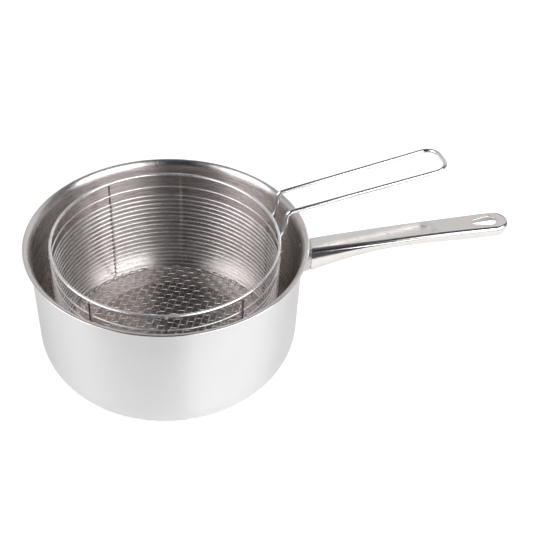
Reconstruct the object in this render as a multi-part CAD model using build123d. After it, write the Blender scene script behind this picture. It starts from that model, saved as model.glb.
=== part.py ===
from build123d import *
from math import atan2, cos, hypot, radians, sin, sqrt, tan
import os

# Deep fry pot with a lift-out wire basket. Millimetres, +Z up.
# The origin is the centre of the pot's underside, and the pot's handle points along +X.

# Pot shell: one drawn steel sheet with a turned-out pouring lip
pot_height = 135.5
pot_radius = 122.0
pot_wall = 1.0
pot_corner_radius = 36.0
lip_bend_radius = 5.2
lip_overturn = 10.0

# Encapsulated base: an aluminium disc inside a thin steel cap
base_core_thickness = 3.4
base_cap_wall = 0.6
base_edge_radius = 1.6
braze_gap = 0.1

# Pot handle: a pressed steel channel, open underneath, over a welded bracket
handle_wall = 1.5
handle_reach = 192.0
handle_stand_off = 9.0
handle_drop = 15.8
handle_root_depth = 22.8
handle_root_slope = 10.6
handle_crown_radius = 2200.0
handle_root_half_width = 13.2
handle_waist_half_width = 12.3
handle_end_half_width = 13.2
handle_waist_share = 0.52
handle_shoulder_radius = 3.5
handle_crease_height = 4.5
handle_crease_inset = 1.0
underside_shares = (
    (0.0, 1.0),
    (0.186, 0.645),
    (0.351, 0.434),
    (0.567, 0.392),
    (0.789, 0.44),
    (1.0, 0.38),
)

# Hanging hole: a teardrop through the handle's top, its narrow end towards the pot
hole_end_distance = 17.5
hole_length = 12.5
hole_large_radius = 6.6
hole_small_radius = 3.6

# Handle bracket: a stub on the pot wall that the channel slips over
bracket_wall = 1.5
bracket_plate = 2.0
bracket_tongue = 16.0
bracket_clearance = 0.25
weld_gap = 0.05

# Basket wires: every ring touches the same cylinder, and the uprights stand outside it
basket_side_clearance = 17.0
top_ring_wire = 3.0
side_ring_wire = 1.4
bottom_ring_wire = 2.0
upright_wire = 1.8
wire_gap = 0.1
top_ring_drop = 3.0
second_ring_step = 15.1
third_ring_step = 10.4
side_ring_count = 19
upright_tip = 0.3
upright_foot_rise = 0.5
basket_offset_x = -1.5
basket_offset_y = 1.0
seat_clearance = 0.35
upright_azimuths = (-1.0, 36.5, 78.0, 100.5, 112.0, 171.5, 211.3, 250.0, 282.0, 322.0)
short_upright_azimuth = 112.0

# Basket floor: a plain woven disc, its wire ends folded round the bottom ring
mesh_wire = 1.0
mesh_pitch = 6.6
mesh_bar_step = 2
mesh_turn = -18.0
fold_slot = 1.0

# Basket handle: one bent wire loop, both ends welded outside the top ring
grip_wire = 4.2
grip_azimuth = 99.5
grip_foot_drop = 5.5
grip_foot_half_spacing = 15.6
grip_end_half_spacing = 17.9
grip_bend_reach = 4.25
grip_bend_rise = 21.0
grip_end_reach = 156.7
grip_end_rise = 50.6
grip_bend_radius = 6.0
grip_loop_radius = 13.5

# One overrun for every cut
overrun = 2.0

# Sizes that follow
shell_bottom_z = base_cap_wall + base_core_thickness
pot_floor_z = shell_bottom_z + pot_wall
pot_inner_radius = pot_radius - pot_wall
corner_x = pot_radius - pot_corner_radius
corner_z = shell_bottom_z + pot_corner_radius
corner_inner_radius = pot_corner_radius - pot_wall
basket_radius = pot_inner_radius - basket_side_clearance
hem_radius = bottom_ring_wire / 2 + mesh_wire
bottom_ring_radius = basket_radius - hem_radius
basket_offset = hypot(basket_offset_x, basket_offset_y)
seat_side = bottom_ring_radius + basket_offset - corner_x
seat_reach = corner_inner_radius - hem_radius - seat_clearance
bottom_ring_z = corner_z - sqrt(seat_reach**2 - seat_side**2)
top_ring_z = pot_height - top_ring_drop
second_ring_z = top_ring_z - second_ring_step
third_ring_z = second_ring_z - third_ring_step
side_pitch = (third_ring_z - bottom_ring_z) / (side_ring_count - 1)
upright_radius = basket_radius + wire_gap + upright_wire / 2
fold_radius = bottom_ring_wire / 2 + wire_gap
mesh_z = bottom_ring_z + fold_radius + wire_gap + mesh_wire
grip_bend_distance = basket_radius + grip_bend_reach
grip_end_distance = basket_radius + grip_end_reach
grip_bend_height = pot_height + grip_bend_rise
grip_end_height = pot_height + grip_end_rise
basket_place = Location((basket_offset_x, basket_offset_y, 0))


def around(centre_x, centre_y, radius, angle):
    """Point on a circle, the angle in degrees from the first axis."""
    turn = radians(angle)
    return centre_x + radius * cos(turn), centre_y + radius * sin(turn)


def at_azimuth(radius, azimuth, height):
    """Point round the basket's axis, the azimuth in degrees from the front towards +X."""
    turn = radians(azimuth)
    return radius * sin(turn), -radius * cos(turn), height


# Pot

def pot_body():
    """Revolve the shell's section: flat floor, round corner, straight wall, flared lip."""
    lip_x = pot_inner_radius + lip_bend_radius
    lip_z = pot_height - lip_bend_radius
    lip_under = lip_bend_radius - pot_wall
    lip_middle = lip_bend_radius - pot_wall / 2
    lip_end = 90 - lip_overturn
    lip_half = (180 + lip_end) / 2
    edge_x, edge_z = around(lip_x, lip_z, lip_middle, lip_end)
    edge_tip = around(edge_x, edge_z, pot_wall / 2, -lip_overturn)
    outer_corner = around(corner_x, corner_z, pot_corner_radius, -45)
    inner_corner = around(corner_x, corner_z, corner_inner_radius, -45)
    under_half = around(lip_x, lip_z, lip_under, lip_half)
    under_end = around(lip_x, lip_z, lip_under, lip_end)
    upper_half = around(lip_x, lip_z, lip_bend_radius, lip_half)
    upper_end = around(lip_x, lip_z, lip_bend_radius, lip_end)
    outline = [
        Line((0, shell_bottom_z), (corner_x, shell_bottom_z)),
        ThreePointArc((corner_x, shell_bottom_z), outer_corner, (pot_radius, corner_z)),
        Line((pot_radius, corner_z), (pot_radius, lip_z)),
        ThreePointArc((pot_radius, lip_z), under_half, under_end),
        ThreePointArc(under_end, edge_tip, upper_end),
        ThreePointArc(upper_end, upper_half, (pot_inner_radius, lip_z)),
        Line((pot_inner_radius, lip_z), (pot_inner_radius, corner_z)),
        ThreePointArc((pot_inner_radius, corner_z), inner_corner, (corner_x, pot_floor_z)),
        Line((corner_x, pot_floor_z), (0, pot_floor_z)),
        Line((0, pot_floor_z), (0, shell_bottom_z)),
    ]
    return revolve(Plane.XZ * make_face(outline), Axis.Z)


def disc(radius, bottom, top, edge):
    """Disc with its lower edge rounded."""
    body = Pos(0, 0, bottom) * Cylinder(radius, top - bottom, align=(Align.CENTER, Align.CENTER, Align.MIN))
    return fillet(body.edges().sort_by(Axis.Z)[0], edge)


def base_core():
    core_radius = corner_x - base_cap_wall - braze_gap
    return disc(core_radius, base_cap_wall, shell_bottom_z, base_edge_radius - base_cap_wall)


def base_cap():
    outside = disc(corner_x, 0, shell_bottom_z, base_edge_radius)
    inside = disc(
        corner_x - base_cap_wall,
        base_cap_wall,
        shell_bottom_z + overrun,
        base_edge_radius - base_cap_wall,
    )
    return outside - inside


# Pot handle and its bracket

def handle_top(along):
    """Height of the handle's top, a long arc that starts at the root slope."""
    rise = along * tan(radians(handle_root_slope))
    return pot_height - handle_drop + rise - along**2 / (2 * handle_crown_radius)


def handle_block(inset, skirt):
    """Handle's outline from above cut by its outline from the side, both drawn in by the inset.

    The skirt carries the lower side on past the underside.
    """
    side = ThreePointArc(
        (pot_radius, handle_root_half_width - inset),
        (pot_radius + handle_reach * handle_waist_share, handle_waist_half_width - inset),
        (pot_radius + handle_reach - handle_end_half_width, handle_end_half_width - inset),
    )
    end = side @ 1
    flare = atan2((side % 1).Y, (side % 1).X)
    tip_x = end.X + end.Y * tan(flare) + end.Y / cos(flare)
    root = side @ 0
    plan = make_face([
        side,
        ThreePointArc((end.X, end.Y), (tip_x, 0), (end.X, -end.Y)),
        mirror(side, Plane.XZ),
        Line((root.X, -root.Y), (root.X, root.Y)),
    ])
    length = handle_reach + overrun
    points = []
    for along_share, depth_share in underside_shares:
        along = along_share * length
        depth = depth_share * handle_root_depth
        points.append((pot_radius + along, handle_top(along) - depth - skirt))
    top_start = (pot_radius, handle_top(0) - inset)
    top_half = (pot_radius + length / 2, handle_top(length / 2) - inset)
    top_end = (pot_radius + length, handle_top(length) - inset)
    side_room = handle_root_half_width + overrun
    profile = Plane.XZ.offset(-side_room) * make_face([
        ThreePointArc(top_start, top_half, top_end),
        Spline(*points),
        Line(top_start, points[0]),
        Line(top_end, points[-1]),
    ])
    tall = pot_height + handle_reach
    prism = extrude(plan, amount=tall)
    slab = extrude(profile, amount=2 * side_room)
    return prism & slab


def shouldered(block, radius):
    """Turn the lower edges in by a crease, and round the edges where the top meets the sides."""
    under = min(block.faces(), key=lambda face: face.normal_at().Z)
    lower_edges = under.edges().sort_by(Axis.X)[1:]
    creased = block.chamfer(handle_crease_inset, handle_crease_height, lower_edges, under)
    top = creased.faces().sort_by(Axis.Z)[-1]
    return fillet(top.edges().sort_by(Axis.X)[1:], radius)


def slice_along(start, stop):
    """Box over the handle between two distances from the pot wall."""
    width = 2 * (handle_root_half_width + overrun)
    tall = pot_height + handle_reach
    box = Box(stop - start, width, tall, align=(Align.MIN, Align.CENTER, Align.MIN))
    return Pos(pot_radius + start, 0, 0) * box


def hanging_hole():
    """Two round ends joined by their common tangents."""
    large_x = pot_radius + handle_reach - hole_end_distance
    small_x = large_x - hole_length
    lean = (hole_large_radius - hole_small_radius) / hole_length
    rise = sqrt(1 - lean**2)
    large_tangent = (large_x - hole_large_radius * lean, hole_large_radius * rise)
    small_tangent = (small_x - hole_small_radius * lean, hole_small_radius * rise)
    middle = Polygon(
        large_tangent,
        small_tangent,
        (small_tangent[0], -small_tangent[1]),
        (large_tangent[0], -large_tangent[1]),
        align=None,
    )
    ends = Pos(large_x, 0) * Circle(hole_large_radius) + Pos(small_x, 0) * Circle(hole_small_radius)
    return extrude(middle + ends, amount=pot_height + handle_reach)


def pot_handle():
    outside = shouldered(handle_block(0, 0), handle_shoulder_radius)
    inside = shouldered(handle_block(handle_wall, overrun), handle_shoulder_radius - handle_wall)
    channel = (outside - inside) & slice_along(handle_stand_off, handle_reach + overrun)
    return channel - hanging_hole()


def handle_bracket():
    """Plate against the pot wall with a channel stub that fills the handle's root."""
    outer_inset = handle_wall + bracket_clearance
    inner_inset = outer_inset + bracket_wall
    block = shouldered(handle_block(outer_inset, 0), handle_shoulder_radius - outer_inset)
    stub = block & slice_along(0, handle_stand_off + bracket_tongue)
    hollow = handle_block(inner_inset, overrun) & slice_along(bracket_plate, handle_reach)
    pot = Cylinder(pot_radius + weld_gap, pot_height, align=(Align.CENTER, Align.CENTER, Align.MIN))
    return stub - hollow - pot


# Basket

def ring(wire, radius, height):
    return basket_place * Pos(0, 0, height) * Torus(radius, wire / 2)


def upright(azimuth, top):
    bottom = bottom_ring_z + upright_foot_rise
    rod = Cylinder(upright_wire / 2, top - bottom, align=(Align.CENTER, Align.CENTER, Align.MIN))
    return basket_place * Pos(*at_azimuth(upright_radius, azimuth, bottom)) * rod


def basket_mesh():
    """Woven floor as one holed sheet, two wires thick, its edge folded round the bottom ring."""
    step = mesh_pitch * mesh_bar_step
    reach = int(bottom_ring_radius / step)
    bars = Sketch()
    for index in range(-reach, reach + 1):
        bars += Pos(index * step, 0) * Rectangle(mesh_wire, 2 * bottom_ring_radius)
        bars += Pos(0, index * step) * Rectangle(2 * bottom_ring_radius, mesh_wire)
    net = extrude(bars & Circle(bottom_ring_radius), amount=2 * mesh_wire)
    fold = Circle(hem_radius) - Circle(fold_radius)
    fold -= Pos(-hem_radius, 0) * Rectangle(2 * fold_slot, 2 * hem_radius)
    hem = revolve(Plane.XZ * Pos(bottom_ring_radius, bottom_ring_z) * fold, Axis.Z)
    return basket_place * (hem + Pos(0, 0, mesh_z - mesh_wire) * Rot(0, 0, mesh_turn) * net)


def grip_point(along, across, height):
    """Point of the basket handle: distance out from the axis, distance across, height."""
    turn = radians(grip_azimuth)
    return (
        along * sin(turn) + across * cos(turn),
        -along * cos(turn) + across * sin(turn),
        height,
    )


def basket_handle():
    """Round wire along one path: up from the ring, over a bend, out, round the end and back."""
    foot_radius = basket_radius + wire_gap + grip_wire / 2
    foot_along = sqrt(foot_radius**2 - grip_foot_half_spacing**2)
    foot_z = top_ring_z - grip_foot_drop
    near = [
        grip_point(foot_along, -grip_foot_half_spacing, foot_z),
        grip_point(foot_along, -grip_foot_half_spacing, top_ring_z),
        grip_point(grip_bend_distance, -grip_foot_half_spacing, grip_bend_height),
        grip_point(grip_end_distance, -grip_end_half_spacing, grip_end_height),
    ]
    far = [
        grip_point(grip_end_distance, grip_end_half_spacing, grip_end_height),
        grip_point(grip_bend_distance, grip_foot_half_spacing, grip_bend_height),
        grip_point(foot_along, grip_foot_half_spacing, top_ring_z),
        grip_point(foot_along, grip_foot_half_spacing, foot_z),
    ]
    radii = [grip_bend_radius, grip_bend_radius, grip_loop_radius]
    path = FilletPolyline(*near, *far, radius=radii + radii[::-1])
    section = Plane(origin=path @ 0, z_dir=path % 0) * Circle(grip_wire / 2)
    return basket_place * sweep(section, path=path)


# Every piece under its node's name
pieces = {
    "pot_body": pot_body(),
    "base_core": base_core(),
    "base_cap": base_cap(),
    "pot_handle": pot_handle(),
    "handle_bracket": handle_bracket(),
    "basket_top_ring": ring(top_ring_wire, basket_radius - top_ring_wire / 2, top_ring_z),
    "basket_bottom_ring": ring(bottom_ring_wire, bottom_ring_radius, bottom_ring_z),
    "basket_mesh": basket_mesh(),
    "basket_handle": basket_handle(),
}
side_ring_radius = basket_radius - side_ring_wire / 2
pieces["side_ring_01"] = ring(side_ring_wire, side_ring_radius, second_ring_z)
for number in range(2, side_ring_count + 1):
    ring_z = third_ring_z - (number - 2) * side_pitch
    pieces[f"side_ring_{number:02d}"] = ring(side_ring_wire, side_ring_radius, ring_z)
for number, azimuth in enumerate(upright_azimuths, start=1):
    carrier_z = second_ring_z if azimuth == short_upright_azimuth else top_ring_z
    pieces[f"upright_{number:02d}"] = upright(azimuth, carrier_z + upright_tip)

os.makedirs("parts", exist_ok=True)
for name, piece in pieces.items():
    export_step(piece, f"parts/{name}.step")
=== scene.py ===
import bpy
import numpy as np
from mathutils import Matrix


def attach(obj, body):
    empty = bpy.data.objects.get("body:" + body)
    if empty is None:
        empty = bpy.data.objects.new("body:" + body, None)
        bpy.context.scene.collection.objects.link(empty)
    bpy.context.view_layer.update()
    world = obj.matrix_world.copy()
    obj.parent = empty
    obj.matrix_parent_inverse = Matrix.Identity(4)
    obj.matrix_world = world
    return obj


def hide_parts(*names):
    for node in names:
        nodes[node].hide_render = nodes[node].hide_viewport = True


# Deep fry pot with a lift-out wire basket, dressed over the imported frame.
# Sizes in the dictionaries are millimetres, as in the part's source. In the studio and the finishes they are
# metres.

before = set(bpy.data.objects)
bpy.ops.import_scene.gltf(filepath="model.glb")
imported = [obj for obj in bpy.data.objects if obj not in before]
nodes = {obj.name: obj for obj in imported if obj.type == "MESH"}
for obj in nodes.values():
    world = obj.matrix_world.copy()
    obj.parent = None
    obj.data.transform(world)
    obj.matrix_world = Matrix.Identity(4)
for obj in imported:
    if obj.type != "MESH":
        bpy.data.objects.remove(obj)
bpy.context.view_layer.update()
mm = 0.001
print("frame loaded:", len(nodes), "nodes")


# Camera, at the photograph's angle

cameraFit = {
    "focalPixels": 868.0, "framePixels": 533.0,
    "elevation": 38.1, "roll": 1.5, "distance": 785.0,
    "target": (0.0, 0.0, 135.5), "targetPixel": (168.0, 236.4),
    "sensor": 36.0, "clip": (0.01, 50.0),
}


def unit(vectors):
    # Each vector divided by its length
    return vectors / np.linalg.norm(vectors, axis=-1, keepdims=True)


def turnMatrix(axis, sine, cosine):
    # Rotation about a unit axis: identity + sine * cross + (1 - cosine) * cross * cross
    x, y, z = axis
    cross = np.array([[0, -z, y], [z, 0, -x], [-y, x, 0]])
    return np.eye(3) + sine * cross + (1 - cosine) * cross @ cross


def blenderMatrix(right, up, back, place):
    # An object's matrix from its three axes and its place in metres
    matrix = np.eye(4)
    matrix[:3, 0], matrix[:3, 1], matrix[:3, 2], matrix[:3, 3] = right, up, back, place
    return Matrix(matrix.tolist())


def addObject(name, data):
    # A new object in the scene
    item = bpy.data.objects.new(name, data)
    bpy.context.scene.collection.objects.link(item)
    return item


def placeCamera(fit):
    # The camera first looks straight at the target. It then turns until the target lands on its pixel, and
    # rolls about it.
    up, roll = np.radians(fit["elevation"]), np.radians(fit["roll"])
    target = np.array(fit["target"])
    position = target + fit["distance"] * np.array([0, -np.cos(up), np.sin(up)])
    forward = (target - position) / fit["distance"]
    right = np.array([1.0, 0, 0])
    base = np.stack([right, np.cross(right, forward), forward])
    centre = fit["framePixels"] / 2
    across, down = fit["targetPixel"]
    ray = unit(np.array([(across - centre) / fit["focalPixels"], (centre - down) / fit["focalPixels"], 1.0]))
    hinge = np.cross([0, 0, 1.0], ray)
    sine = np.linalg.norm(hinge)
    turned = turnMatrix(ray, np.sin(roll), np.cos(roll)) @ turnMatrix(hinge / sine, sine, ray[2]) @ base
    cameraData = bpy.data.cameras.new("photoCamera")
    cameraData.sensor_width = fit["sensor"]
    cameraData.lens = fit["focalPixels"] / fit["framePixels"] * fit["sensor"]
    cameraData.clip_start, cameraData.clip_end = fit["clip"]
    camera = addObject("photoCamera", cameraData)
    camera.matrix_world = blenderMatrix(turned[0], turned[1], -turned[2], position * mm)
    bpy.context.scene.camera = camera


placeCamera(cameraFit)
bpy.context.scene.view_settings.view_transform = "Standard"


# Small helpers for node trees

def fillSocket(tree, socket, value):
    # Links an output, or types a value in. Colours get a full alpha.
    if isinstance(value, bpy.types.NodeSocket):
        tree.links.new(value, socket)
    elif socket.type == "RGBA":
        socket.default_value = (*value, 1.0)
    else:
        socket.default_value = value


def addNode(tree, kind, settings=None, **inputs):
    # Adds a shader node, sets its settings, and fills the inputs that are named, or numbered i0, i1 and so on
    node = tree.nodes.new("ShaderNode" + kind)
    for key, value in (settings or {}).items():
        setattr(node, key, value)
    for key, value in inputs.items():
        isNumbered = key[0] == "i" and key[1:].isdigit()
        fillSocket(tree, node.inputs[int(key[1:]) if isNumbered else key.replace("_", " ")], value)
    return node


def mathNode(tree, operation, first, second=0.0, clamp=False):
    settings = {"operation": operation, "use_clamp": clamp}
    return addNode(tree, "Math", settings, i0=first, i1=second).outputs[0]


def rangeNode(tree, value, low, high, newLow, newHigh, smooth=False):
    settings = {"interpolation_type": "SMOOTHSTEP" if smooth else "LINEAR"}
    ends = {"i1": low, "i2": high, "i3": newLow, "i4": newHigh}
    return addNode(tree, "MapRange", settings, i0=value, **ends).outputs[0]


def mixColors(tree, factor, first, second):
    return addNode(tree, "Mix", {"data_type": "RGBA"}, i0=factor, i6=first, i7=second).outputs[2]


def lengthNode(tree, vector):
    return addNode(tree, "VectorMath", {"operation": "LENGTH"}, i0=vector).outputs["Value"]


def objectPlace(tree):
    return addNode(tree, "TexCoord").outputs["Object"]


def newMaterial(name):
    material = bpy.data.materials.new(name)
    material.use_nodes = True
    material.node_tree.nodes.clear()
    return material, material.node_tree


# The pot's sizes, which the studio and the handle also use

pot = {
    "height": 135.5, "radius": 122.0, "wall": 1.0, "cornerRadius": 36.0, "shellBottom": 4.0,
    "lipRadius": 5.2, "lipOverturn": 10.0, "lipFlare": 8.5,
    "steps": 480,
    "rows": {
        "floor": 12, "corner": 20, "wall": 46, "flare": 22, "lip": 4, "edge": 7,
        "outFlare": 16, "outWall": 20, "outCorner": 24, "underside": 6,
    },
}


# World, floor and lamps

studio = {
    "lightLevel": 0.50,
    "white": (1.0, 1.0, 1.0),
    "room": (0.17, 0.16, 0.155),
    # Soft-edged patches of the room that reflections see. In degrees: azimuth from and to with its softness,
    # and height from and to with its softness. Azimuths run from the front, or from the back, towards +X.
    "patches": (
        ("back", (-10.0, 61.0, 12.0), (-10.0, 48.0, 5.0), (0.78, 0.76, 0.75)),
        ("back", (-85.0, -10.0, 14.0), (-10.0, 46.0, 8.0), (0.62, 0.60, 0.60)),
        ("front", (-180.0, 180.0, 1.0), (64.0, 100.0, 6.0), (0.10, 0.10, 0.11)),
        ("back", (-90.0, 90.0, 8.0), (52.0, 100.0, 5.0), (0.10, 0.10, 0.12)),
        ("front", (-100.0, -52.0, 16.0), (8.0, 60.0, 8.0), (1.0, 1.0, 1.0)),
        ("front", (-36.0, 13.0, 2.0), (4.0, 70.0, 8.0), (0.03, 0.03, 0.035)),
        ("back", (-110.0, 110.0, 10.0), (-100.0, 2.0, 2.0), (1.0, 1.0, 1.0)),
        ("front", (-75.0, 75.0, 10.0), (-100.0, 3.0, 3.0), (0.06, 0.06, 0.07)),
    ),
    "floorColor": (0.86, 0.86, 0.86), "floorSize": 6.0, "floorFront": -0.40, "floorDrop": 0.0002,
    # The floor's glow for the camera, near the pot and far away, and the two distances
    "floorGlow": (0.44, 1.0), "floorReach": (0.35, 1.5),
    # Soft boxes left and right of the camera, and a low strip. Each is its azimuth, height, distance, width,
    # tallness and radiance.
    "boxes": (
        (-74.0, 33.0, 1.5, 1.20, 1.30, 2.1),
        (51.5, 33.0, 1.5, 1.40, 1.30, 4.15),
        (18.0, 5.0, 1.5, 0.45, 0.30, 5.0),
    ),
}


def bandNode(tree, value, low, high, soft):
    # 1 between low and high, falling smoothly to 0 over the softness on both sides
    rise = rangeNode(tree, value, low - soft, low + soft, 0.0, 1.0, smooth=True)
    fall = rangeNode(tree, value, high - soft, high + soft, 1.0, 0.0, smooth=True)
    return mathNode(tree, "MULTIPLY", rise, fall)


def seenNode(tree, rays):
    return mathNode(tree, "MAXIMUM", rays["Is Camera Ray"], rays["Is Transmission Ray"])


def makeWorld(look):
    # White to the camera. Reflections see a dim room with the patches laid over it, one after another.
    world = bpy.data.worlds.new("studio")
    bpy.context.scene.world = world
    world.use_nodes = True
    tree = world.node_tree
    tree.nodes.clear()
    direction = addNode(tree, "TexCoord").outputs["Generated"]
    x, y, z = addNode(tree, "SeparateXYZ", i0=direction).outputs
    towards = {"front": mathNode(tree, "MULTIPLY", y, -1.0), "back": y}
    azimuths = {
        side: mathNode(tree, "DEGREES", mathNode(tree, "ARCTAN2", x, axis)) for side, axis in towards.items()
    }
    height = mathNode(tree, "DEGREES", mathNode(tree, "ARCSINE", z))
    room = look["room"]
    for side, turns, rises, color in look["patches"]:
        inside = bandNode(tree, height, *rises)
        goesAllRound = turns[1] - turns[0] >= 360
        if not goesAllRound:
            inside = mathNode(tree, "MULTIPLY", inside, bandNode(tree, azimuths[side], *turns))
        room = mixColors(tree, inside, room, color)
    rays = addNode(tree, "LightPath").outputs
    isGlossy = rays["Is Glossy Ray"]
    shining = mathNode(tree, "MAXIMUM", seenNode(tree, rays), isGlossy)
    shown = mixColors(tree, isGlossy, look["white"], room)
    lightLevel = rangeNode(tree, shining, 0.0, 1.0, look["lightLevel"], 1.0)
    background = addNode(tree, "Background", Color=shown, Strength=lightLevel)
    addNode(tree, "OutputWorld", Surface=background.outputs[0])


def makeFloor(look):
    # A pale floor that keeps a soft shadow. A glow for the camera alone makes it white, more so far away.
    half, front, z = look["floorSize"] / 2, look["floorFront"], -look["floorDrop"]
    mesh = bpy.data.meshes.new("studioFloor")
    corners = [(-half, front, z), (half, front, z), (half, half, z), (-half, half, z)]
    mesh.from_pydata(corners, [], [(0, 1, 2, 3)])
    floor = addObject("studioFloor", mesh)
    material, tree = newMaterial("studioFloor")
    diffuse = addNode(tree, "BsdfDiffuse", Color=look["floorColor"])
    seen = seenNode(tree, addNode(tree, "LightPath").outputs)
    distance = lengthNode(tree, objectPlace(tree))
    level = rangeNode(tree, distance, *look["floorReach"], *look["floorGlow"], smooth=True)
    strength = mathNode(tree, "MULTIPLY", seen, level)
    glow = addNode(tree, "Emission", Color=look["white"], Strength=strength)
    both = addNode(tree, "AddShader", i0=diffuse.outputs[0], i1=glow.outputs[0])
    addNode(tree, "OutputMaterial", Surface=both.outputs[0])
    mesh.materials.append(material)


def makeLamps(look):
    # Soft boxes that face the pot. Their power is radiance * pi * area.
    for number, (azimuth, height, distance, width, tallness, radiance) in enumerate(look["boxes"], start=1):
        lampData = bpy.data.lights.new(f"softBox{number}", "AREA")
        lampData.shape = "RECTANGLE"
        lampData.size, lampData.size_y = width, tallness
        lampData.energy = radiance * np.pi * width * tallness
        lamp = addObject(f"softBox{number}", lampData)
        turn, rise = np.radians(azimuth), np.radians(height)
        back = np.array([np.sin(turn) * np.cos(rise), -np.cos(turn) * np.cos(rise), np.sin(rise)])
        side = unit(np.cross([0, 0, 1.0], back))
        place = back * distance + np.array([0, 0, pot["height"] * mm])
        lamp.matrix_world = blenderMatrix(side, np.cross(back, side), back, place)


makeWorld(studio)
makeFloor(studio)
makeLamps(studio)
print("studio ready")


# Metal finishes: a name and a row of values. Edge tints the reflections at a grazing angle, and tone is how
# far the colour wanders.

potColumns = ("color", "edge", "roughness", "anisotropic", "lines", "tone")
potFinishes = {
    # The pot's floor is painted darker than its wall: painted shade under the basket
    "ground": ((0.38, 0.35, 0.33), (0.40, 0.37, 0.35), 0.32, 0.8, 0.2, 0.08),
    "inside": ((0.68, 0.63, 0.61), (0.20, 0.17, 0.16), 0.25, 1.0, 0.35, 0.06),
    "outside": ((0.76, 0.75, 0.76), (1.0, 1.0, 1.0), 0.34, 0.85, 0.01, 0.015),
    "flare": ((0.74, 0.71, 0.70), (0.8, 0.8, 0.8), 0.24, 1.0, 0.35, 0.04),
    "rim": ((0.82, 0.80, 0.80), (0.9, 0.9, 0.9), 0.14, 0.20, 0.01, 0.03),
    "base": ((0.80, 0.80, 0.84), (1.0, 1.0, 1.0), 0.22, 0.60, 0.02, 0.04),
}
plainColumns = ("color", "stretch", "roughness", "tone", "grain", "scale")
plainFinishes = {
    "handle": ((0.77, 0.745, 0.73), (0.04, 1.0, 1.0), 0.12, 0.05, 0.035, 900.0),
    "handleInside": ((0.74, 0.73, 0.72), (0.3, 1.0, 1.0), 0.48, 0.06, 0.05, 700.0),
    "bracket": ((0.62, 0.61, 0.60), (0.3, 1.0, 1.0), 0.24, 0.10, 0.06, 700.0),
    "core": ((0.75, 0.75, 0.76), (1.0, 1.0, 1.0), 0.35, 0.05, 0.08, 500.0),
    # The next finish is a dark colour that paints the shade under the inner weld bead
    "burn": ((0.20, 0.14, 0.12), (1.0, 1.0, 1.0), 0.45, 0.20, 0.25, 900.0),
    "weld": ((0.74, 0.73, 0.72), (1.0, 1.0, 1.0), 0.30, 0.20, 0.25, 900.0),
}
# The second colour tints the wire at its welds; on the net's folded ends it is painted shade
wireColumns = ("color", "weldAndShadeColor", "roughness", "scale")
wireFinishes = {
    "ringWire": ((0.90, 0.89, 0.90), (0.30, 0.27, 0.25), 0.26, 500.0),
    # The upright rods' colour is painted dark as painted shade; they are the same steel as the rings
    "rodWire": ((0.40, 0.36, 0.34), (0.18, 0.15, 0.14), 0.38, 500.0),
    "netWire": ((0.90, 0.87, 0.85), (0.30, 0.27, 0.25), 0.16, 600.0),
    "gripWire": ((0.84, 0.84, 0.85), (0.35, 0.32, 0.30), 0.13, 400.0),
}
# The middle part of a noise's range, over which tone and roughness change
noiseSpan = {"tone": (0.35, 0.65), "rough": (0.3, 0.7)}
# How each kind of metal uses its noises. Shares are of the finish's own scale and roughness.
brushing = {
    # Scale along the profile, scale round the axis, detail and roughness of each noise
    "lineNoise": (2600.0, 3.0, 3.0, 0.6), "cloudNoise": (14.0, 5.0, 4.0, 0.55),
    "roughShares": (0.85, 1.2), "bumpDepth": 0.0002, "rotation": 0.25,
}
graining = {
    "grainDetail": (4.0, 0.6), "cloudShare": 0.05, "cloudDetail": 3.0,
    "roughShares": (0.75, 1.35), "bumpDepth": 0.0003,
}
drawing = {
    "fineShare": 4.0, "fineDetail": 2.0, "slowShare": 0.15, "slowDetail": 3.0,
    "toneShares": (0.88, 1.08), "roughShares": (0.8, 1.3),
    "weldAndShadeTint": 0.7, "weldRoughness": 0.22, "bump": 0.05, "bumpDepth": 0.0001,
}


def toned(color, factor):
    return tuple(part * factor for part in color)


def noiseNode(tree, spot, scale, detail, roughness=0.5):
    inputs = {"Vector": spot, "Scale": scale, "Detail": detail, "Roughness": roughness}
    return addNode(tree, "TexNoise", **inputs).outputs[0]


def toneBetween(tree, noise, dark, light):
    return mixColors(tree, rangeNode(tree, noise, *noiseSpan["tone"], 0.0, 1.0), dark, light)


def roughBetween(tree, noise, roughness, shares):
    return rangeNode(tree, noise, *noiseSpan["rough"], roughness * shares[0], roughness * shares[1])


def endMetal(tree, height, bump, bumpDepth, **inputs):
    normal = addNode(tree, "Bump", Strength=bump, Distance=bumpDepth, Height=height).outputs[0]
    shader = addNode(tree, "BsdfPrincipled", Metallic=1.0, Normal=normal, **inputs)
    addNode(tree, "OutputMaterial", Surface=shader.outputs[0])


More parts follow.
